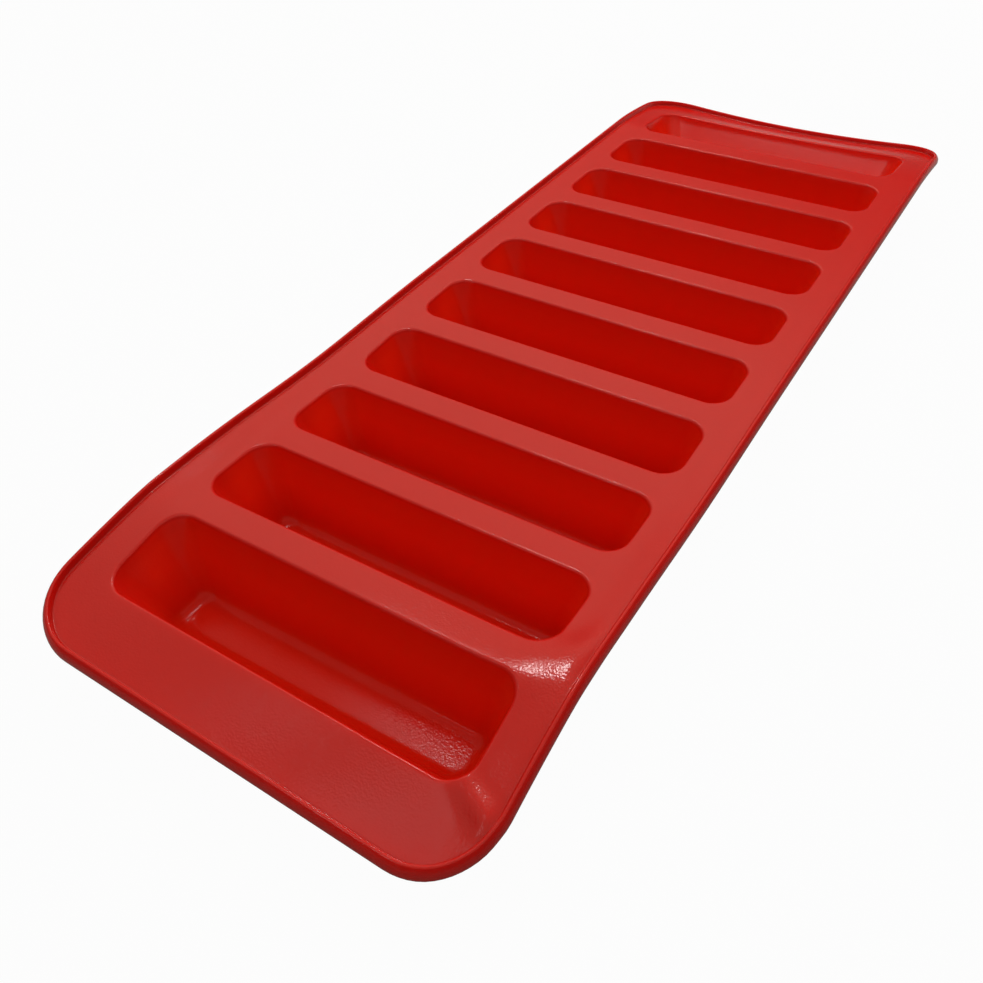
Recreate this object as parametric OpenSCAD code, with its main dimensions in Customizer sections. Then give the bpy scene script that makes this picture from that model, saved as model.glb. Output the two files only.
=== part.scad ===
// Ice stick tray: one soft rubber moulding. Narrow pockets hang side by side from a
// thin flange, which ends all round in a raised rim. The tray stands on its pocket
// floors. The flange carries nothing beyond the end pockets, so it has slumped there.
// X runs across the tray, along each pocket. Y runs along the tray, from the near end
// to the far end. The origin is under the middle of the slumped tray, on the surface it
// stands on.

/* [Pockets] */
// Number of pockets in the row
pocket_n = 10; // [2:1:16]
// Distance from one pocket to the next
pitch = 30; // [27:0.5:40]
// Length of a pocket's mouth, across the tray
mouth_l = 95.5; // [60:0.5:140]
// Width of a pocket's mouth, along the tray
mouth_w = 21.5; // [17:0.5:23]
// Radius of the mouth's corners, seen from above
mouth_r = 6; // [3:0.5:8]
// Depth inside a pocket, from the flange to the floor
depth = 20; // [14:0.5:24]
// Draft of the long walls, degrees from upright
side_draft = 13; // [5:1:15]
// Draft of the end walls, degrees from upright
end_draft = 20; // [10:1:35]
// Radius inside, where the walls meet the floor
floor_r = 3; // [1.5:0.5:3.5]
// Radius of the mouth's edge, where the flange turns down into the pocket
lip_r = 0.8; // [0.4:0.1:1.2]

/* [Skin] */
// Thickness of the pocket walls and floors
wall = 1.5; // [1:0.1:2]
// Thickness of the flange
flange_t = 1.6; // [1.2:0.1:2.2]
// Radius outside, where the pocket walls hang from the flange
root_r = 0.8; // [0.4:0.1:1]

/* [Flange and rim] */
// Flange beyond the last pocket's mouth, at each end of the tray
end_flange = 17.25; // [12:0.25:30]
// Flange beyond the pockets' ends, along each side of the tray
side_flange = 10.75; // [7:0.25:20]
// Radius of the tray's corners, seen from above
tray_r = 17; // [8:1:22]
// Width of the raised rim at its foot
rim_w = 2.8; // [2.2:0.1:4]
// Height of the rim above the flange
rim_h = 1.8; // [1:0.1:3]
// How far the rim's inner face leans, from its foot to its crest
rim_lean = 0.9; // [0.6:0.1:1.2]

/* [Slump] */
// Angle at which the near end's flange hangs, at the middle of the tray
near_droop = 15.2; // [0:0.2:20]
// How much more it hangs at the right edge, and less at the left
near_twist = 5; // [0:0.5:6]
// Angle at which the far end's flange hangs, at its corners
far_droop = 9.5; // [0:0.5:14]
// How much more it hangs at the middle
far_sag = 6; // [0:0.5:8]
// How far inwards of the near pocket's middle the bend begins
near_bend = 12; // [8:0.5:18]
// The same at the side rims, where it begins earlier
near_bend_out = 15.5; // [8:0.5:18]
// Softness of that bend: the distance over which the flange tips over
near_soft = 4.5; // [3:0.5:16]
// How far inwards of the far pocket's middle the bend begins
far_bend = 10; // [6:0.5:18]
// Softness of the far bend, and of the near one at the side rims
bend_l = 10.5; // [5:0.5:16]
// How far the near pocket's outer lip is pulled outwards
near_lean = 2; // [0:0.1:3]
// How far the far pocket's outer lip is pulled outwards
far_lean = 4.5; // [0:0.1:5]
// How far the flange has moved to the left of the pocket floors
side_lean = 1.5; // [0:0.1:2]
// Depth of the shallow dip in the flange between the pockets
dip = 1.5; // [0:0.1:2]
// Place of the dip, counted from the tray's middle towards the near end
dip_at = 65; // [0:1:100]
// Half length of the dip
dip_l = 31; // [15:1:50]
// Rise of both side flanges at their outer edge
side_rise = 1.3; // [0:0.1:3]
// Place of that rise, counted from the tray's middle towards the near end
rise_at = 92; // [0:1:120]
// Half length of the rise
rise_l = 48; // [20:1:60]

/* [Fineness] */
// Segments in each corner of the middle pockets
corner_n = 4; // [4:2:6]
// Segments in each corner of the two end pockets and of the tray
end_corner_n = 6; // [4:2:8]
// Segments along a pocket's long side
long_n = 4; // [2:1:8]
// Segments along the end walls of the two end pockets, where the flange bends
bend_n = 5; // [3:1:8]

/* [Hidden] */

// Heights of the flange's top and underside above the surface the tray stands on
top_z = wall + depth;
under_z = top_z - flange_t;

// The leaning lips make the tray longer, by more at one end than at the other: this
// brings its middle back over the origin
shift_y = (far_lean - near_lean) / 2;

// Half sizes of the tray, and of the line where the rim rises from the flange
tray_x = mouth_l / 2 + side_flange;
tray_y = (pocket_n - 1) * pitch / 2 + mouth_w / 2 + end_flange;
foot_x = tray_x - rim_w;
foot_y = tray_y - rim_w;
foot_r = tray_r - rim_w;

// Segments of the round edges, seen in section
lip_n = 2;
floor_n = 2;
root_n = 1;

// Segments along the end walls of the middle pockets
short_n = 2;

// Bands of flange round a middle pocket, and round an end pocket, where it bends
bands = 1;
end_bands = 3;

// The most of a pocket's half width that its corners may take
corner_share = 0.9;

// Places are rounded to a micron, so that neighbours share their edge points exactly
grain = 1000;

// Easings of the rim, outwards and upwards: at its inner foot and at its crest's inner
// edge. Its two outer edges are cut back by the same amount both ways.
foot_ease = [0.35, 0.2];
crest_ease = [0.3, 0.2];
crest_cut = 0.6;
lower_cut = 0.4;

// The rim in section, from its inner foot over the crest to the flange's underside:
// outward distance and height above the flange
rim_section = [
    foot_ease,
    [rim_lean, rim_h - crest_ease[1]],
    [rim_lean + crest_ease[0], rim_h],
    [rim_w - crest_cut, rim_h],
    [rim_w, rim_h - crest_cut],
    [rim_w, lower_cut - flange_t],
    [rim_w - lower_cut, -flange_t]
];

// Y of pocket i's middle, and of the seam between pocket i - 1 and pocket i
function pocket_y(i) = (i - (pocket_n - 1) / 2) * pitch;
function seam_y(i) = i == 0 ? -foot_y : i == pocket_n ? foot_y : (i - pocket_n / 2) * pitch;

function is_end(i) = i == 0 || i == pocket_n - 1;
function between(a, b, t) = a * (1 - t) + b * t;
function clamp01(t) = min(1, max(0, t));
function ease(t) = let (u = clamp01(t)) u * u * (3 - 2 * u);

// The flange sinks by this much at a distance d past the start of a bend of softness l:
// level at first, then ever closer to a straight slope at the given angle
function sink(d, angle, l) = tan(angle) * (sqrt(pow(max(0, d), 2) + pow(l, 2)) - l);

// A low hump of height 1 and half length l, centred at distance at on the near side
function hump(y, at, l) = exp(-pow((y + at) / l, 2));

// Where a point of the tray as moulded lies once the soft tray has slumped. The pocket
// floors stay put, the flange takes all of it, and the walls between take their share.
function slumped(p) =
    let (
        x = p[0], y = p[1],
        share = clamp01((p[2] - wall) / (under_z - wall)),
        out = ease((abs(x) - mouth_l / 2) / side_flange),
        near_d = pocket_y(0) + between(near_bend, near_bend_out, out) - y,
        far_d = y - (pocket_y(pocket_n - 1) - far_bend),
        near_sink = sink(near_d, near_droop + near_twist * x / tray_x, between(near_soft, bend_l, out)),
        far_sink = sink(far_d, far_droop + far_sag * clamp01(1 - pow(x / tray_x, 2)), bend_l),
        lift = side_rise * out * hump(y, rise_at, rise_l) - dip * hump(y, dip_at, dip_l),
        lean = far_lean * ease((y - pocket_y(pocket_n - 1) + mouth_w / 2) / mouth_w)
            - near_lean * ease((pocket_y(0) + mouth_w / 2 - y) / mouth_w)
    )
    [for (v = [
        x + (1 - share) * side_lean,
        y + share * lean - shift_y,
        p[2] + share * (lift - near_sink - far_sink)
    ]) round(v * grain) / grain];

// How far a pocket wall stands outside the mouth at height z. The wall has draft a and
// lies off outside the pocket's inner face. It hangs from the plane zt with a round of
// radius rt, and meets the floor's plane zb with a round of radius rb.
function reach(z, a, zt, zb, off, rt, rb) =
    let (tang = tan(45 - a / 2), face = 1 - sin(a))
    zt - z < rt * face ? wall_at(zt, a, off) + rt * tang - rt * sin(acos(1 - (zt - z) / rt)) :
    z - zb < rb * face ? wall_at(zb, a, off) - rb * tang + rb * cos(asin(1 - (z - zb) / rb)) :
    wall_at(z, a, off);
function wall_at(z, a, off) = off / cos(a) - (top_z - z) * tan(a);

// Heights of the rings that loft a pocket's skin, from its top plane to its floor: nt
// segments in the upper round, so many rings in the middle, and the round at the floor
function ring_heights(zt, zb, rt, rb, nt, middles) = concat(
    [for (k = [0:nt]) zt - rt * (1 - cos(k / nt * (90 - side_draft)))],
    [for (k = [1:1:middles]) between(zt, zb, k / (middles + 1))],
    [for (k = [0:floor_n]) zb + rb * (1 - sin(between(side_draft, 90, k / floor_n)))]
);

// Numbers of segments round pocket i: in the corner of quarter q, and along its long and
// short sides. A corner that lies next to a corner of the tray is cut finer.
function at_tray_corner(i, q) = i == (q < 2 ? pocket_n - 1 : 0);
function corner_segments(i, q) = at_tray_corner(i, q) ? end_corner_n : corner_n;
function side_segments(i) = [long_n, is_end(i) ? bend_n : short_n];

// A closed line through four lists of corner points, counted anticlockwise from the
// right, with the straight sides between them cut into segments
function closed_line(corners, segments) = [
    for (q = [0:3])
        let (a = corners[q], b = corners[(q + 1) % 4], n = segments[q % 2])
        each concat(a, [for (k = [1:n - 1]) between(a[len(a) - 1], b[0], k / n)])
];

corner_sign = [[1, 1], [-1, 1], [-1, -1], [1, -1]];

// A round corner's points, for quarter q: its centre, radius and number of segments
function round_corner(q, centre, r, n) =
    [for (j = [0:n]) let (a = 90 * (q + j / n)) centre + r * [cos(a), sin(a)]];

// One ring of pocket i's skin at height z, before the slump. Its corners tighten half as
// fast as the pocket narrows.
function pocket_ring(i, z, zt, zb, off, rt, rb) =
    let (
        side = reach(z, side_draft, zt, zb, off, rt, rb),
        half = [mouth_l / 2 + reach(z, end_draft, zt, zb, off, rt, rb), mouth_w / 2 + side],
        r = min(mouth_r + off + (side - off) / 2, corner_share * half[1]),
        corners = [for (q = [0:3])
            let (s = corner_sign[q], y = pocket_y(i) + s[1] * (half[1] - r))
            round_corner(q, [s[0] * (half[0] - r), y], r, corner_segments(i, q))]
    )
    [for (p = closed_line(corners, side_segments(i))) [p[0], p[1], z]];

// The corner where the rim's foot meets the seam at y. Its first half runs along the foot
// and its second along the seam, or the other way round in every other quarter.
function square_corner(i, q, y, n) = [
    for (j = [0:n])
        let (
            s = corner_sign[q],
            t = 2 * (q % 2 == 0 ? j / n : 1 - j / n),
            side_y = pocket_y(i) + s[1] * (mouth_w / 2 - mouth_r)
        )
        t < 1 ? [s[0] * foot_x, between(side_y, y, t)]
            : [s[0] * between(foot_x, mouth_l / 2 - mouth_r, t - 1), y]
];

// The outer border of pocket i's share of the flange: the seams to its neighbours and
// the foot of the rim. Its points pair off with those of the pocket's rings.
function border(i, z) =
    let (corners = [for (q = [0:3])
        let (s = corner_sign[q], n = corner_segments(i, q), y = seam_y(s[1] > 0 ? i + 1 : i))
        at_tray_corner(i, q)
            ? round_corner(q, [s[0] * (foot_x - foot_r), y - s[1] * foot_r], foot_r, n)
            : square_corner(i, q, y, n)])
    [for (p = closed_line(corners, side_segments(i))) [p[0], p[1], z]];

// The flange between a border and a pocket's first ring, in bands narrow enough to bend
function flange_rings(i, edge, mouth) =
    let (n = is_end(i) ? end_bands : bands)
    [for (k = [0:n - 1]) [for (j = [0:len(edge) - 1]) between(edge[j], mouth[j], k / n)]];

// Rings of the upper skin of pocket i, from its border over the lip to the floor
function upper_rings(i) =
    let (rings = [for (z = ring_heights(top_z, wall, lip_r, floor_r, lip_n, 1))
        pocket_ring(i, z, top_z, wall, 0, lip_r, floor_r)])
    concat(flange_rings(i, border(i, top_z), rings[0]), rings);

// Rings of its lower skin, from the border under the flange to the pocket's underside
function lower_rings(i) =
    let (
        foot = floor_r + wall,
        rings = [for (z = ring_heights(under_z, 0, root_r, foot, root_n, is_end(i) ? 1 : 0))
            pocket_ring(i, z, under_z, 0, wall, root_r, foot)]
    )
    concat(flange_rings(i, border(i, under_z), rings[0]), rings);

// The foot of the rim, once round the tray: each pocket's border gives the stretch of
// it that isn't a seam, and each stretch leaves out its last point
function rim_foot(z) =
    let (last = pocket_n - 1)
    concat(
        stretch(border(last, z), corner_middle(last, 3), corner_middle(last, 2)),
        [for (i = [last - 1:-1:1]) each stretch(border(i, z), corner_middle(i, 1), corner_middle(i, 2))],
        stretch(border(0, z), corner_middle(0, 1), corner_middle(0, 0)),
        [for (i = [1:1:last - 1]) each stretch(border(i, z), corner_middle(i, 3), corner_middle(i, 0))]
    );
function stretch(line, from, to) =
    [for (k = [from:(to < from ? to + len(line) : to) - 1]) line[k % len(line)]];

// Number, in pocket i's border, of the first and of the middle point of quarter q's corner
function corner_start(i, q) = q == 0 ? 0
    : corner_start(i, q - 1) + corner_segments(i, q - 1) + side_segments(i)[(q - 1) % 2];
function corner_middle(i, q) = corner_start(i, q) + corner_segments(i, q) / 2;

// A point of the rim's foot moved straight out from the tray by d and up by h
function rim_point(p, d, h) =
    let (
        inner = [
            min(foot_x - foot_r, max(foot_r - foot_x, p[0])),
            min(foot_y - foot_r, max(foot_r - foot_y, p[1]))
        ],
        out = [p[0], p[1]] - inner
    )
    [p[0] + d * out[0] / norm(out), p[1] + d * out[1] / norm(out), top_z + h];

function rim_rings() = concat(
    [rim_foot(top_z)],
    [for (s = rim_section) [for (p = rim_foot(top_z)) rim_point(p, s[0], s[1])]],
    [rim_foot(under_z)]
);

// Two triangles for each cell between successive rings of n points, numbered from first.
// Up says that the skin faces up where its rings shrink, and not down.
function skin(first, rings, n, up) = [
    for (k = [0:rings - 2], j = [0:n - 1])
        let (a = first + k * n + j, b = first + k * n + (j + 1) % n)
        each up ? [[a, b + n, b], [a, a + n, b + n]] : [[a, b, b + n], [a, b + n, a + n]]
];
// Triangles that close a skin's last ring of n points round the point numbered tip
function cap(first, n, tip, up) = [
    for (j = [0:n - 1])
        let (a = first + j, b = first + (j + 1) % n)
        up ? [b, a, tip] : [a, b, tip]
];

// Every skin of the tray as a stack of rings, whether it faces up, and its tip: the upper
// and lower skin of each pocket end in the middle of a floor, and the rim has no tip
function stacks() = concat(
    [for (i = [0:pocket_n - 1]) [upper_rings(i), true, [0, pocket_y(i), wall]]],
    [for (i = [0:pocket_n - 1]) [lower_rings(i), false, [0, pocket_y(i), 0]]],
    [[rim_rings(), false, undef]]
);

module skinned(parts) {
    counts = [for (s = parts) len(s[0]) * len(s[0][0]) + (is_undef(s[2]) ? 0 : 1)];
    firsts = [for (k = 0, total = 0; k < len(parts); total = total + counts[k], k = k + 1) total];
    points = [for (s = parts) each concat([for (ring = s[0], p = ring) p], is_undef(s[2]) ? [] : [s[2]])];
    faces = [
        for (k = [0:len(parts) - 1])
            let (
                s = parts[k], n = len(s[0][0]),
                tip = firsts[k] + counts[k] - 1
            )
            each concat(
                skin(firsts[k], len(s[0]), n, s[1]),
                is_undef(s[2]) ? [] : cap(tip - n, n, tip, s[1])
            )
    ];
    polyhedron([for (p = points) slumped(p)], faces, convexity = 10);
}

module stick_tray() {
    color([0.78, 0.09, 0.07])
    skinned(stacks());
}

stick_tray();
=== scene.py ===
# Ice pop mould in soft red rubber, modelled as it lies: ten narrow pockets under one thin
# flange with a raised rim, slumped at both ends. X runs across the tray and Y along it, from
# the near end to the far end. Shapes are worked out in millimetres and made in metres.

import math

import bmesh
import bpy
import numpy as np
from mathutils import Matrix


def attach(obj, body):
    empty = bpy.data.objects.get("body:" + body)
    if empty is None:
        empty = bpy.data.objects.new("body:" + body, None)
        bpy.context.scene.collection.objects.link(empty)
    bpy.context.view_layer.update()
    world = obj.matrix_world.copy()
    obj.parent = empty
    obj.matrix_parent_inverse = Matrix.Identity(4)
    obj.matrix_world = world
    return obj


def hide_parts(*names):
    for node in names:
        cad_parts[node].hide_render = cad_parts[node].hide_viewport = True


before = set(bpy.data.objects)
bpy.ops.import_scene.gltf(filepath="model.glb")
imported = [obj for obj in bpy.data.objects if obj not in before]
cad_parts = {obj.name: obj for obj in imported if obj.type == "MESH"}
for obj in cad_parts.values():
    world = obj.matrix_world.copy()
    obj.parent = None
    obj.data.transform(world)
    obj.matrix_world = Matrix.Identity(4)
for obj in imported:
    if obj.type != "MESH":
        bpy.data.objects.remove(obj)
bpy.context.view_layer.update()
print("frame loaded:", ", ".join(sorted(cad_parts)))

scene = bpy.context.scene
millimetre = 0.001
samePoint = 1e-6        # millimetres
weldReach = 2e-6        # metres

# The tray as moulded, in millimetres and in degrees from upright
tray = {
    "pockets": 10,
    "pitch": 30.0,
    "mouthLength": 95.5,   # of a pocket, across the tray
    "mouthWidth": 21.5,
    "mouthRadius": 6.0,
    "depth": 20.0,
    "sideDraft": 13.0,
    "endDraft": 20.0,
    "floorRadius": 3.0,
    "lipRadius": 0.8,
    "lipFade": 1.6,        # height below the lip over which the pockets' painted glow sets in
    "nearFade": 0.95,      # the part of that painted glow that the pockets' near walls lack, as the lamps behind light them directly
    "wall": 1.5,
    "flange": 1.6,
    "rootRadius": 0.8,     # outside, where the pockets hang from the flange
    "endFlange": 17.25,
    "sideFlange": 10.75,
    "cornerRadius": 17.0,
    "rimWidth": 2.8,
    "cornerShare": 0.9,    # of a pocket's half width that its corners may take
}

# The rim in section: corners outwards from its inner foot, heights above the flange, and how
# far each corner is rounded
rimSection = [
    [0.7, 0.0, 0.3],
    [1.1, 1.7, 0.35],
    [1.75, 1.7, 0.3],
    [tray["rimWidth"], 0.5, 0.9],
    [tray["rimWidth"], -tray["flange"], 1.0],
]

# How the soft tray has slumped
slump = {
    "nearDroop": 15.2,     # degrees that the near end's flange hangs
    "nearTwist": 5.0,      # more at the right edge, and less at the left
    "farDroop": 9.5,
    "farSag": 6.0,         # more at the middle of the far end
    "nearBend": 12.0,      # where the bends begin, inwards of the end pockets
    "nearBendOut": 15.5,   # and at the side rims
    "farBend": 10.0,
    "nearSoft": 4.5,       # softness of the near bend between the pockets' ends
    "softness": 10.5,      # of the far bend, and of the near one at the side rims
    "nearLean": 2.0,       # how far the end pockets' outer lips are pulled out
    "farLean": 4.5,
    "sideLean": 1.5,       # how far the flange has moved to the left of the floors
    "dip": 1.5,            # of the flange between the near pockets
    "dipAt": -65.0,
    "dipLength": 31.0,
    "sideRise": 1.3,       # of the side flanges at their outer edge
    "riseAt": -92.0,
    "riseLength": 48.0,
}

# Folds in the flange from pocket 1 to the right rim, one at its far corner and one at its near
# corner. The turn is in degrees from across the tray.
folds = [
    {"at": (51.8, -116.0), "turn": 38.8, "length": 11.6, "width": 6.2, "height": 1.2},
    {"at": (54.9, -148.3), "turn": -24.6, "length": 11.3, "width": 2.3, "height": 1.15},
]
rimStiffness = 0.65     # the part of a fold that the rim itself doesn't follow

# Segments of each part of the mesh, and where its bands lie as parts of the way: from a
# cell's border to the mouth, down a wall between its rounds, and from the floor's edge in
fineness = {"corner": 16, "long": 16, "short": 10, "lip": 6, "foot": 8, "rimRound": 5}
flangeBands = np.array([0.0, 0.03, 0.18, 0.34, 0.5, 0.66, 0.82, 0.97])
nearBands = np.array([0.0, 0.03, *np.linspace(0.09, 0.91, 14), 0.97])     # for the folds
wallBands = np.array([0.03, 0.2, 0.4, 0.6, 0.8, 0.97])
floorBands = np.array([0.1, 0.4, 0.7, 1.0])

topZ = tray["wall"] + tray["depth"]
underZ = topZ - tray["flange"]
lastPocket = tray["pockets"] - 1
halfMouth = np.array([tray["mouthLength"], tray["mouthWidth"]]) / 2
rowEnd = lastPocket * tray["pitch"] / 2
trayHalf = halfMouth + [tray["sideFlange"], rowEnd + tray["endFlange"]]
footHalf = trayHalf - tray["rimWidth"]     # the line where the rim rises from the flange
footRadius = tray["cornerRadius"] - tray["rimWidth"]
shiftY = (slump["farLean"] - slump["nearLean"]) / 2     # keeps the slumped tray centred
quarters = np.array([[1, 1], [-1, 1], [-1, -1], [1, -1]])     # of a rectangle, anticlockwise


def pocketY(i):
    return (i - lastPocket / 2) * tray["pitch"]


def seamY(i):     # between pocket i - 1 and pocket i
    if i in (0, tray["pockets"]):
        return math.copysign(footHalf[1], i - 1)
    return (i - tray["pockets"] / 2) * tray["pitch"]


# Smooth step: 3 t squared - 2 t cubed, from 0 to 1
def ease(t):
    t = np.clip(t, 0, 1)
    return t * t * (3 - 2 * t)


# Drop past the start of a bend: tan(angle) times (hypot(distance, soft) - soft), so level at
# first and then ever closer to a straight slope
def sink(distance, angle, soft):
    return np.tan(np.radians(angle)) * (np.hypot(np.maximum(distance, 0), soft) - soft)


# Hump: e to the power of -((y - at) / length) squared
def hump(y, at, length):
    return np.exp(-(((y - at) / length) ** 2))


# How far a point lies outside the rim's foot, and inside it less than nothing: the distance
# past the middles of the foot's corner circles, less their radius
def beyondFoot(x, y):
    return np.hypot(np.maximum(np.abs(x) - footHalf[0] + footRadius, 0),
                    np.maximum(np.abs(y) - footHalf[1] + footRadius, 0)) - footRadius


# A fold: its height times e to the power of -(along / length) squared - (aside / width)
# squared. The rim's stiffness sets in over the rim's width, half of it inside the foot.
def foldRise(fold, x, y):
    turn = math.radians(fold["turn"])
    dx, dy = x - fold["at"][0], y - fold["at"][1]
    along = dx * math.cos(turn) + dy * math.sin(turn)
    aside = dy * math.cos(turn) - dx * math.sin(turn)
    height = fold["height"] * (1 - rimStiffness * ease(beyondFoot(x, y) / tray["rimWidth"] + 0.5))
    return height * np.exp(-((along / fold["length"]) ** 2) - (aside / fold["width"]) ** 2)


# Every point of the slumped tray. The pocket floors stay put, the flange takes the whole
# slump, and a wall takes a share that grows with its height: up or down by the lift less both
# sinks, along by the lean, and across by what the flange has moved to the left of the floors.
def slumped(points):
    x, y, z = np.moveaxis(points, -1, 0)
    share = np.clip((z - tray["wall"]) / (underZ - tray["wall"]), 0, 1)
    across = x / trayHalf[0]
    outward = ease((np.abs(x) - halfMouth[0]) / tray["sideFlange"])
    nearStart = slump["nearBend"] + (slump["nearBendOut"] - slump["nearBend"]) * outward
    nearSoft = slump["nearSoft"] + (slump["softness"] - slump["nearSoft"]) * outward
    nearAngle = slump["nearDroop"] + slump["nearTwist"] * across
    farAngle = slump["farDroop"] + slump["farSag"] * np.clip(1 - across**2, 0, 1)
    nearSink = sink(nearStart - rowEnd - y, nearAngle, nearSoft)
    farSink = sink(y - rowEnd + slump["farBend"], farAngle, slump["softness"])
    lift = (slump["sideRise"] * outward * hump(y, slump["riseAt"], slump["riseLength"])
            - slump["dip"] * hump(y, slump["dipAt"], slump["dipLength"])
            + sum(foldRise(fold, x, y) for fold in folds))
    lean = (slump["farLean"] * ease((y - rowEnd + halfMouth[1]) / tray["mouthWidth"])
            - slump["nearLean"] * ease((-rowEnd + halfMouth[1] - y) / tray["mouthWidth"]))
    return np.stack([x + (1 - share) * slump["sideLean"], y + share * lean - shiftY,
                     z + share * (lift - nearSink - farSink)], -1)


# One side of the tray's skin: the plane that the pockets hang from, their floor's plane, the
# distance outside the pockets' inner faces, and the radii of the upper and the lower round
upperSkin = (topZ, tray["wall"], 0.0, tray["lipRadius"], tray["floorRadius"])
lowerSkin = (underZ, 0.0, tray["wall"], tray["rootRadius"], tray["floorRadius"] + tray["wall"])


# Distance of a drafted wall outside the mouth: off / cos(draft) - (top - z) tan(draft)
def wallAt(z, draft, off):
    return off / np.cos(draft) - (topZ - z) * np.tan(draft)


# The same with both rounds: a circle that touches the upper plane and the wall, then the
# wall, then a circle that touches the wall and the floor
def reach(z, draft, skin):
    high, low, off, highRadius, lowRadius = skin
    tangent, face = np.tan(np.pi / 4 - draft / 2), 1 - np.sin(draft)
    highAngle = np.arccos(np.clip(1 - (high - z) / highRadius, -1, 1))
    lowAngle = np.arcsin(np.clip(1 - (z - low) / lowRadius, -1, 1))
    upper = wallAt(high, draft, off) + highRadius * (tangent - np.sin(highAngle))
    lower = wallAt(low, draft, off) + lowRadius * (np.cos(lowAngle) - tangent)
    return np.where(high - z < highRadius * face, upper,
                    np.where(z - low < lowRadius * face, lower, wallAt(z, draft, off)))


# Heights of a pocket's rings: equal angles round both rounds, and wallBands between them
def ringHeights(skin):
    high, low, _, highRadius, lowRadius = skin
    draft = math.radians(tray["sideDraft"])
    over = np.linspace(0, np.pi / 2 - draft, fineness["lip"] + 1)
    foot = np.linspace(draft, np.pi / 2, fineness["foot"] + 1)
    upper = high - highRadius * (1 - np.cos(over))
    lower = low + lowRadius * (1 - np.sin(foot))
    return np.concatenate([upper, upper[-1] + (lower[0] - upper[-1]) * wallBands, lower])


# Quarter circle q, anticlockwise: centre + radius (cos, sin) of equal angles
def roundCorner(q, centre, radius):
    angle = (q + np.arange(fineness["corner"] + 1) / fineness["corner"]) * np.pi / 2
    circle = np.stack([np.cos(angle), np.sin(angle)], -1)
    return centre[..., None, :] + radius[..., None, None] * circle


# A closed line through four corners, with straight sides cut evenly between them
def closedLine(corners):
    parts = []
    for q, side in enumerate(("long", "short", "long", "short")):
        t = (np.arange(1, fineness[side]) / fineness[side])[:, None]
        start, end = corners[q][..., -1:, :], corners[(q + 1) % 4][..., :1, :]
        parts += [corners[q], start * (1 - t) + end * t]
    return np.concatenate(parts, axis=-2)


# Rounded rectangles of pocket i, one for each height: half sizes from reach() at both drafts,
# and corners that tighten half as fast as the pocket narrows. Below the last one come the
# floor's bands, which close in on the floor's middle line.
def pocketRings(i, skin):
    z = ringHeights(skin)
    side, end = (reach(z, math.radians(tray[name]), skin) for name in ("sideDraft", "endDraft"))
    half = halfMouth + np.stack([end, side], -1)
    radius = tray["mouthRadius"] + skin[2] + (side - skin[2]) / 2
    radius = np.minimum(radius, tray["cornerShare"] * half[:, 1])
    middle = np.array([0, pocketY(i)])
    line = closedLine([roundCorner(q, middle + quarters[q] * (half - radius[:, None]), radius)
                       for q in range(4)])
    rings = np.dstack([line, np.broadcast_to(z[:, None], line.shape[:2])])
    edge = rings[-1]
    middleEnd = half[-1, 0] - half[-1, 1]
    inner = np.column_stack([np.clip(edge[:, 0], -middleEnd, middleEnd),
                             np.full(len(edge), middle[1]), edge[:, 2]])
    t = floorBands[:, None, None]
    return np.concatenate([rings, edge * (1 - t) + inner * t])


# The square corner of a cell, where the rim's foot meets the seam between two pockets: half
# of its points run along the one and half along the other
def squareCorner(i, q, y):
    t = 2 * np.arange(fineness["corner"] + 1) / fineness["corner"]
    t = t if q % 2 == 0 else t[::-1]
    sign = quarters[q]
    inner = halfMouth - tray["mouthRadius"]
    sideY = pocketY(i) + sign[1] * inner[1]
    x = footHalf[0] + (inner[0] - footHalf[0]) * np.clip(t - 1, 0, 1)
    return np.column_stack([sign[0] * x, sideY + (y - sideY) * np.clip(t, 0, 1)])


# The border of pocket i's cell: the seams to its neighbours and the foot of the rim
def cellBorder(i, z):
    corners = []
    for q, sign in enumerate(quarters):
        y = seamY(i + 1 if sign[1] > 0 else i)
        if i == (lastPocket if sign[1] > 0 else 0):
            centre = np.array([sign[0] * (footHalf[0] - footRadius), y - sign[1] * footRadius])
            corners.append(roundCorner(q, centre, np.array(footRadius)))
        else:
            corners.append(squareCorner(i, q, y))
    line = closedLine(corners)
    return np.column_stack([line, np.full(len(line), z)])


# One skin of a pocket: flange bands between the cell's border and the mouth, then the pocket
def cellRings(i, skin):
    pocket, border = pocketRings(i, skin), cellBorder(i, skin[0])
    t = (flangeBands if i else nearBands)[:, None, None]
    return np.concatenate([border * (1 - t) + pocket[0] * t, pocket])


# The rim's foot once round the tray: of each cell's border, the stretches that aren't seams
def rimFoot():
    step = [fineness["corner"] + fineness["long"], fineness["corner"] + fineness["short"]]
    cornerMiddle = np.cumsum([0, step[0], step[1], step[0]]) + fineness["corner"] // 2

    def stretch(i, start, stop):
        line = cellBorder(i, topZ)
        first, last = cornerMiddle[start], cornerMiddle[stop]
        return line[np.arange(first, last if last > first else last + len(line)) % len(line)]

    inside = range(1, lastPocket)
    return np.concatenate([stretch(lastPocket, 3, 2),
                           *(stretch(i, 1, 2) for i in reversed(inside)),
                           stretch(0, 1, 0), *(stretch(i, 3, 0) for i in inside)])


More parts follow.
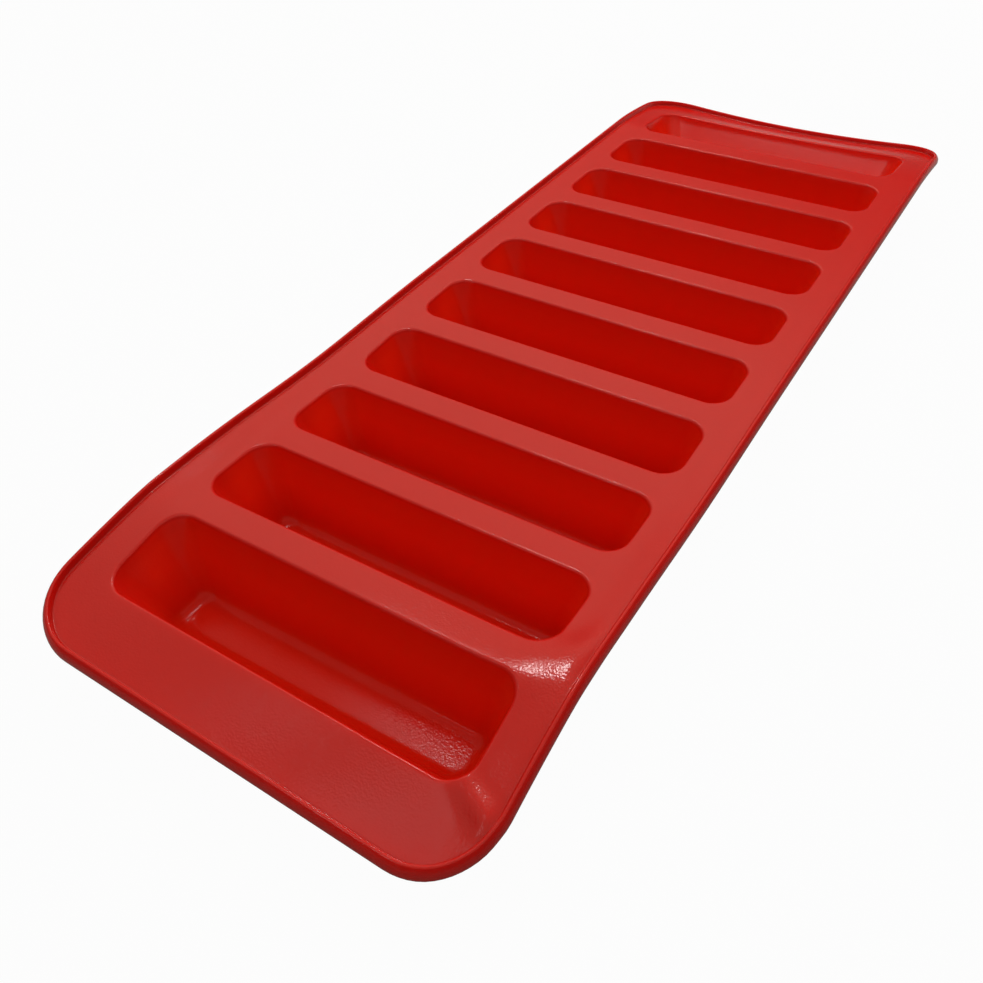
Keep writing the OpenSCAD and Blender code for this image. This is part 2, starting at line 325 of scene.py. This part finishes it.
# The rim's section as a fine line: each corner is a quadratic curve between two points on its
# arms, at its rounding distance, with the corner itself as control point
def rimProfile():
    corners = np.array([[0, 0, 0], *rimSection, [0, -tray["flange"], 0]])
    place, cut = corners[:, :2], corners[:, 2]
    parts = [place[:1]]
    t = np.linspace(0, 1, fineness["rimRound"] + 1)[:, None]
    for before, here, after, distance in zip(place, place[1:], place[2:], cut[1:]):
        start = here + distance * (before - here) / np.linalg.norm(before - here)
        end = here + distance * (after - here) / np.linalg.norm(after - here)
        parts.append((1 - t) ** 2 * start + 2 * t * (1 - t) * here + t**2 * end)
    line = np.concatenate([*parts, place[-1:]])
    return line[np.r_[True, np.linalg.norm(np.diff(line, axis=0), axis=1) > samePoint]]


# The profile carried along the rim's foot: each foot point moved straight outwards by the
# profile's distance and up by its height
def rimRings():
    foot = rimFoot()
    inner = np.clip(foot[:, :2], footRadius - footHalf, footHalf - footRadius)
    out = foot[:, :2] - inner
    out /= np.linalg.norm(out, axis=1, keepdims=True)
    profile = rimProfile()
    plan = foot[None, :, :2] + profile[:, :1, None] * out
    height = np.broadcast_to(topZ + profile[:, 1:], plan.shape[:2])
    return np.dstack([plan, height])


# Four-sided faces between successive closed rings, turned so that they face outwards
def ringFaces(rings, first, facesUp):
    k, j = np.meshgrid(np.arange(rings.shape[0] - 1), np.arange(rings.shape[1]), indexing="ij")
    here = first + k * rings.shape[1]
    a, b = here + j, here + (j + 1) % rings.shape[1]
    c, d = b + rings.shape[1], a + rings.shape[1]
    order = [a, b, c, d] if facesUp else [a, d, c, b]
    return np.stack(order, -1).reshape(-1, 4)


# How much of the pockets' painted glow, and of their own roughness, a point of the upper skin
# has: none at the lip, all of it from lipFade below, and less towards the pocket's near wall
def pocketShare(points):
    y, z = points[:, 1], points[:, 2]
    row = np.clip(np.round(y / tray["pitch"] + lastPocket / 2), 0, lastPocket)
    nearSide = ease((pocketY(row) - y) / halfMouth[1])
    return ease((topZ - z) / tray["lipFade"]) * (1 - tray["nearFade"] * nearSide)


# The whole skin: both sides of every cell and the rim, welded where they meet. The attribute
# inPocket holds pocketShare(), the mask of the pockets' painted glow.
def makeTray():
    stacks = [(cellRings(i, skin), facesUp)
              for skin, facesUp in ((upperSkin, True), (lowerSkin, False))
              for i in range(tray["pockets"])]
    stacks.append((rimRings(), False))
    points, faces, shares, first = [], [], [], 0
    for rings, facesUp in stacks:
        points.append(rings.reshape(-1, 3))
        faces.append(ringFaces(rings, first, facesUp))
        shares.append(pocketShare(points[-1]) * facesUp)
        first += len(points[-1])
    points = slumped(np.concatenate(points)) * millimetre
    mesh = bpy.data.meshes.new("iceTray")
    mesh.from_pydata(points.tolist(), [], np.concatenate(faces).tolist())
    inPocket = mesh.attributes.new("inPocket", "FLOAT", "POINT")
    inPocket.data.foreach_set("value", np.concatenate(shares))
    weld = bmesh.new()
    weld.from_mesh(mesh)
    bmesh.ops.remove_doubles(weld, verts=weld.verts, dist=weldReach)
    weld.to_mesh(mesh)
    weld.free()
    mesh.polygons.foreach_set("use_smooth", np.ones(len(mesh.polygons), bool))
    piece = bpy.data.objects.new("iceTray", mesh)
    scene.collection.objects.link(piece)
    return piece


iceTray = makeTray()
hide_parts("stick_tray")
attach(iceTray, "root")
print("tray built:", len(iceTray.data.polygons), "faces")

# The rubber's finish, with painted glow in the pockets and painted shade on their floors
rubber = {
    "colour": (0.56, 0.0055, 0.003, 1),
    "paleColour": (0.585, 0.0075, 0.004, 1),
    "pocketGlowColour": (0.89, 0.0135, 0.002, 1),      # painted glow: a brighter red that stands in for light coming through the walls and bouncing round inside the pockets
    # painted shade: the pockets' floors get less of the painted glow than their walls
    "floorShadeColour": (0.66, 0.0096, 0.002, 1),
    "cloudSize": 0.05,
    "cloudDetail": 2.0,
    "roughness": 0.12,
    "pocketRoughness": 0.13,
    "roughnessSpread": 0.05,   # between the grain's high and low spots
    "grainSize": 0.00045,
    "grainDetail": 0.5,
    "grainDepth": 0.00003,
    "refraction": 1.4,
    "shine": 0.5,              # strength of the reflection
    "floorShine": 0.14,        # the same on the pockets' floors
    "floorRise": (0.0015, 0.012),      # heights between which the floor's look, its painted shade and weaker shine, gives way
    "translucence": 0.5,
    "lightReach": 0.004,       # how far red light travels inside the rubber
    "reachByColour": (1.0, 0.15, 0.1),     # red, green and blue, as parts of that
}
noiseMean = 0.5
colourMix = {"inputs": (0, 6, 7), "output": 2}     # the sockets of a mix node for colours


# A node with its settings. Its inputs are given in their order or by name, each as a value or
# as the socket to link it to.
def addNode(tree, kind, settings=None, *parts, **inputs):
    node = tree.nodes.new(kind)
    for name, value in (settings or {}).items():
        setattr(node, name, value)
    named = [(node.inputs[name.replace("_", " ")], value) for name, value in inputs.items()]
    for socket, value in [*zip(node.inputs, parts), *named]:
        if isinstance(value, bpy.types.NodeSocket):
            tree.links.new(value, socket)
        else:
            socket.default_value = value
    return node


def mathNode(tree, operation, *parts):
    return addNode(tree, "ShaderNodeMath", {"operation": operation}, *parts).outputs[0]


# An empty node group with its sockets, each a name and a kind
def newGroup(name, inputs, outputs):
    group = bpy.data.node_groups.new(name, "ShaderNodeTree")
    for direction, sockets in (("INPUT", inputs), ("OUTPUT", outputs)):
        for socketName, kind in sockets.items():
            group.interface.new_socket(socketName, in_out=direction,
                                       socket_type="NodeSocket" + kind)
    return group


# Satin rubber: colour = a mix of two reds by soft clouds, then of that and the pocket's brighter
# red, painted glow, by the pocket mask, then of that and the floor's darker red, painted shade,
# by the floor mask; roughness = a mix by the pocket mask, plus the spread times the grain's
# difference from its mean; height = the grain
def satinGroup():
    group = newGroup(
        "satinRubber",
        {"Place": "Vector", "In Pocket": "Float", "On Floor": "Float", "Colour": "Color",
         "Pale Colour": "Color", "Pocket Colour": "Color", "Floor Colour": "Color",
         "Clouds": "Float", "Grain": "Float", "Roughness": "Float",
         "Pocket Roughness": "Float", "Spread": "Float"},
        {"Colour": "Color", "Roughness": "Float", "Height": "Float"})
    given = group.nodes.new("NodeGroupInput").outputs
    clouds, grain = (
        addNode(group, "ShaderNodeTexNoise", Vector=given["Place"], Scale=given[scale],
                Detail=rubber[detail]).outputs["Fac"]
        for scale, detail in (("Clouds", "cloudDetail"), ("Grain", "grainDetail")))
    red = given["Colour"]
    # The pockets' red is painted glow and the floors' darker red painted shade
    for share, other in ((clouds, given["Pale Colour"]),
                         (given["In Pocket"], given["Pocket Colour"]),
                         (given["On Floor"], given["Floor Colour"])):
        mix = addNode(group, "ShaderNodeMix", {"data_type": "RGBA"})
        for socket, part in zip(colourMix["inputs"], (share, red, other)):
            group.links.new(part, mix.inputs[socket])
        red = mix.outputs[colourMix["output"]]
    plain = addNode(group, "ShaderNodeMapRange", Value=given["In Pocket"],
                    To_Min=given["Roughness"], To_Max=given["Pocket Roughness"]).outputs[0]
    rough = mathNode(group, "MULTIPLY_ADD", mathNode(group, "SUBTRACT", grain, noiseMean),
                     given["Spread"], plain)
    addNode(group, "NodeGroupOutput", Colour=red, Roughness=rough, Height=grain)
    return group


def makeRubber():
    material = bpy.data.materials.new("redSatinRubber")
    material.use_nodes = True
    tree = material.node_tree
    shader = tree.nodes["Principled BSDF"]
    shader.inputs["IOR"].default_value = rubber["refraction"]
    shader.inputs["Subsurface Weight"].default_value = rubber["translucence"]
    shader.inputs["Subsurface Radius"].default_value = rubber["reachByColour"]
    shader.inputs["Subsurface Scale"].default_value = rubber["lightReach"]
    place = tree.nodes.new("ShaderNodeTexCoord").outputs["Object"]
    # inPocket: where the pockets' painted glow and their own roughness lie
    inside = addNode(tree, "ShaderNodeAttribute", {"attribute_name": "inPocket"}).outputs["Fac"]
    height = addNode(tree, "ShaderNodeSeparateXYZ", Vector=place).outputs["Z"]
    # onFloor: where the floors' painted shade and weaker shine lie
    onFloor, shine = (
        addNode(tree, "ShaderNodeMapRange", Value=height, From_Min=rubber["floorRise"][0],
                From_Max=rubber["floorRise"][1], To_Min=low, To_Max=high).outputs[0]
        for low, high in ((1.0, 0.0), (rubber["floorShine"], rubber["shine"])))
    satin = addNode(tree, "ShaderNodeGroup", {"node_tree": satinGroup()}, Place=place,
                    In_Pocket=inside, On_Floor=onFloor, Colour=rubber["colour"],
                    Pale_Colour=rubber["paleColour"], Pocket_Colour=rubber["pocketGlowColour"],
                    Floor_Colour=rubber["floorShadeColour"], Clouds=1 / rubber["cloudSize"],
                    Grain=1 / rubber["grainSize"], Roughness=rubber["roughness"],
                    Pocket_Roughness=rubber["pocketRoughness"],
                    Spread=rubber["roughnessSpread"])
    bump = addNode(tree, "ShaderNodeBump", Height=satin.outputs["Height"], Strength=1.0,
                   Distance=rubber["grainDepth"])
    tree.links.new(satin.outputs["Colour"], shader.inputs["Base Color"])
    tree.links.new(satin.outputs["Roughness"], shader.inputs["Roughness"])
    tree.links.new(shine, shader.inputs["Specular IOR Level"])
    tree.links.new(bump.outputs["Normal"], shader.inputs["Normal"])
    return material


iceTray.data.materials.append(makeRubber())
print("rubber finished")

# The studio: a white ground, a sky that glows overhead and more so behind on the left, and lamps
studio = {
    "white": (1.0, 1.0, 1.0, 1),
    "skyColour": (1.0, 0.97, 0.78, 1),
    "paper": (0.27, 0.27, 0.27, 1),
    "floorShare": 0.03,        # of the floor's look that is real light, and so shows the shadow
    "mirrorShare": 0.05,       # of the white ground that mirror rays see
    "floorSize": 12.0,
    "horizonLevel": 0.06,
    "zenithGlow": 0.56,
    "zenithRise": (0.38, 0.7),     # heights between which that glow sets in
    "backGlow": 0.42,
    "backDirection": (-0.42, 0.52, 0.74),
    "backRise": (0.82, 0.97),      # cosines of the angle from it between which that glow sets in
    "lamps": [
        # name, direction from the tray, distance, size, level on a surface that faces it, and
        # whether the rubber mirrors it
        ("backBox", (-0.1, 0.74, 0.66), 0.8, 0.64, 0.545, False),
        ("frontBox", (0.2, -0.9, 0.35), 1.0, 0.7, 0.02, False),
        ("rightBox", (0.9, -0.1, 0.42), 1.0, 0.7, 0.03, False),
        ("lamp", (-0.298, 0.254, 0.92), 1.27, 0.14, 0.078, True),
        ("floorLamp", (-0.4, 0.31, 0.86), 1.244, 0.15, 0.014, True),
        ("leftSpot", (-0.415, -0.24, 0.877), 1.34, 0.08, 0.0018, True),
        ("rightSpot", (-0.245, -0.405, 0.881), 1.35, 0.32, 0.01, True),
        ("frontWindow", (-0.25, -0.77, 0.60), 1.3, 0.3, 0.02, True),
    ],
}


# How much of the plain white a ray gets: all for camera and see-through rays, mirrorShare for
# mirror rays and none for the light itself, all times share
def whiteAmount(tree, share):
    path = tree.nodes.new("ShaderNodeLightPath").outputs
    seen = mathNode(tree, "MULTIPLY", path["Is Glossy Ray"], studio["mirrorShare"])
    for name in ("Is Camera Ray", "Is Transmission Ray"):
        seen = mathNode(tree, "MAXIMUM", seen, path[name])
    return mathNode(tree, "MULTIPLY", seen, share)


def makeFloor():
    half = studio["floorSize"] / 2
    mesh = bpy.data.meshes.new("studioFloor")
    corners = [(-half, -half, 0), (half, -half, 0), (half, half, 0), (-half, half, 0)]
    mesh.from_pydata(corners, [], [(0, 1, 2, 3)])
    floor = bpy.data.objects.new("studioFloor", mesh)
    scene.collection.objects.link(floor)
    material = bpy.data.materials.new("paleFloor")
    material.use_nodes = True
    tree = material.node_tree
    tree.nodes.clear()
    paper = addNode(tree, "ShaderNodeBsdfDiffuse", Color=studio["paper"]).outputs[0]
    glow = addNode(tree, "ShaderNodeEmission", Color=studio["white"], Strength=1.0).outputs[0]
    share = whiteAmount(tree, 1 - studio["floorShare"])
    mix = addNode(tree, "ShaderNodeMixShader", None, share, paper, glow).outputs[0]
    addNode(tree, "ShaderNodeOutputMaterial", Surface=mix)
    mesh.materials.append(material)


# The sky: the horizon's level, plus each glow's level times a smooth step of how far the
# direction is raised, or turned towards the glow
def makeSky():
    world = bpy.data.worlds.new("studioSky")
    scene.world = world
    world.use_nodes = True
    tree = world.node_tree
    tree.nodes.clear()
    direction = tree.nodes.new("ShaderNodeTexCoord").outputs["Generated"]
    height = addNode(tree, "ShaderNodeSeparateXYZ", Vector=direction).outputs["Z"]
    back = np.array(studio["backDirection"]) / np.linalg.norm(studio["backDirection"])
    towards = addNode(tree, "ShaderNodeVectorMath", {"operation": "DOT_PRODUCT"},
                      direction, back.tolist()).outputs["Value"]
    zenith, behind = (
        addNode(tree, "ShaderNodeMapRange", {"interpolation_type": "SMOOTHSTEP"}, Value=value,
                From_Min=rise[0], From_Max=rise[1], To_Min=low, To_Max=low + glow).outputs[0]
        for value, rise, low, glow in (
            (height, studio["zenithRise"], studio["horizonLevel"], studio["zenithGlow"]),
            (towards, studio["backRise"], 0.0, studio["backGlow"])))
    level = mathNode(tree, "ADD", zenith, behind)
    graded, white = (
        addNode(tree, "ShaderNodeBackground", Color=studio[colour], Strength=strength).outputs[0]
        for colour, strength in (("skyColour", level), ("white", 1.0)))
    mix = addNode(tree, "ShaderNodeMixShader", None, whiteAmount(tree, 1.0), graded, white)
    addNode(tree, "ShaderNodeOutputWorld", Surface=mix.outputs[0])


# A round lamp that faces the tray's middle. Its power is pi squared times its distance
# squared times the level, so that a white surface facing it takes on that level.
def makeLamp(name, direction, distance, size, level, mirrored):
    lamp = bpy.data.lights.new(name, "AREA")
    lamp.shape = "DISK"
    lamp.size = size
    lamp.energy = math.pi**2 * distance**2 * level
    lampObject = bpy.data.objects.new(name, lamp)
    towards = np.array(direction) / np.linalg.norm(direction)
    lampObject.location = (towards * distance).tolist()
    lampObject.rotation_euler = (math.acos(towards[2]), 0, math.atan2(towards[0], -towards[1]))
    lampObject.visible_glossy = mirrored
    scene.collection.objects.link(lampObject)


makeFloor()
makeSky()
for lamp in studio["lamps"]:
    makeLamp(*lamp)
print("studio lit")

# Where the photographer stood
viewpoint = {
    "place": (0.10589, -0.22075, 0.17357),
    "turn": (47.360, 2.037, 32.182),       # degrees
    "lens": 35.161,        # millimetres, as is the sensor's width
    "sensor": 36.0,
    "nearest": 0.01,       # metres, where the camera's view begins
}

camera = bpy.data.cameras.new("camera")
camera.lens = viewpoint["lens"]
camera.sensor_width = viewpoint["sensor"]
camera.clip_start = viewpoint["nearest"]
cameraObject = bpy.data.objects.new("camera", camera)
cameraObject.location = viewpoint["place"]
cameraObject.rotation_euler = [math.radians(angle) for angle in viewpoint["turn"]]
scene.collection.objects.link(cameraObject)
scene.camera = cameraObject
scene.view_settings.view_transform = "Standard"
print("camera set")
